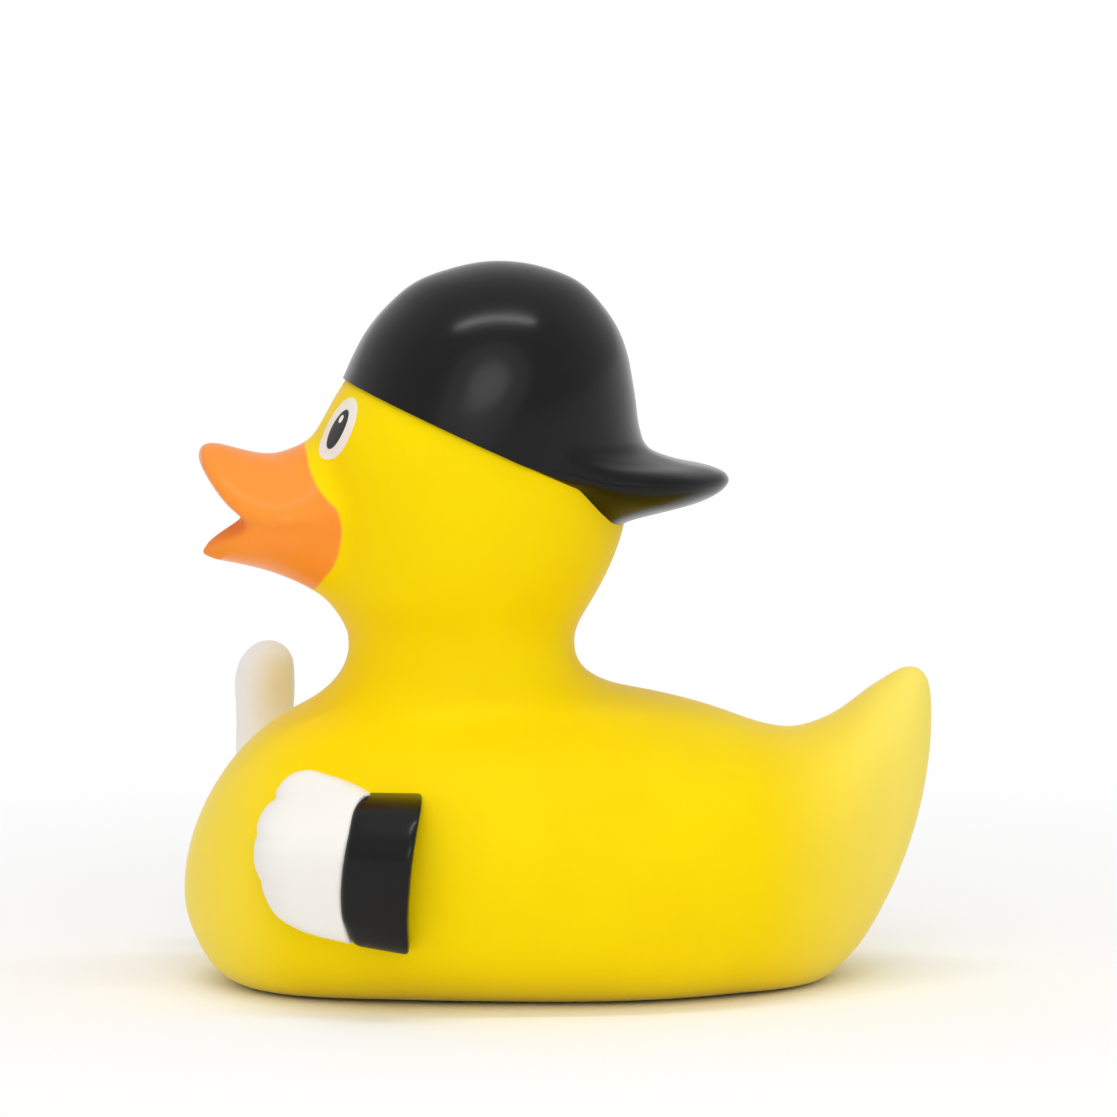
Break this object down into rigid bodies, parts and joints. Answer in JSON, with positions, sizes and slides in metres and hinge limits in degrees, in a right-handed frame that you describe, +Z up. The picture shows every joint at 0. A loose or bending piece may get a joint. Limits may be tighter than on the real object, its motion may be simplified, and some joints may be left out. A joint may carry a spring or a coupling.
{
  "type": "toy duck",
  "caption": "Hollow toy duck moulded in soft vinyl, wearing a cap with its visor to the back, with cuffed hands on its flanks; it floats or stands on its flat base",
  "frame": {"origin": "on the flat base, midway along the length and across the width", "axes": "+X runs from the bill to the tail, +Y to the duck's right, +Z up to the crown"},
  "size_m": [0.0848, 0.0692, 0.0818],
  "materials": {
    "yellow_vinyl": "satin",
    "orange_paint": "satin",
    "black_paint": "satin",
    "white_paint": "satin"
  },
  "bodies": {
    "root": {"duck_moulding": "yellow_vinyl"}
  },
  "joints": []
}
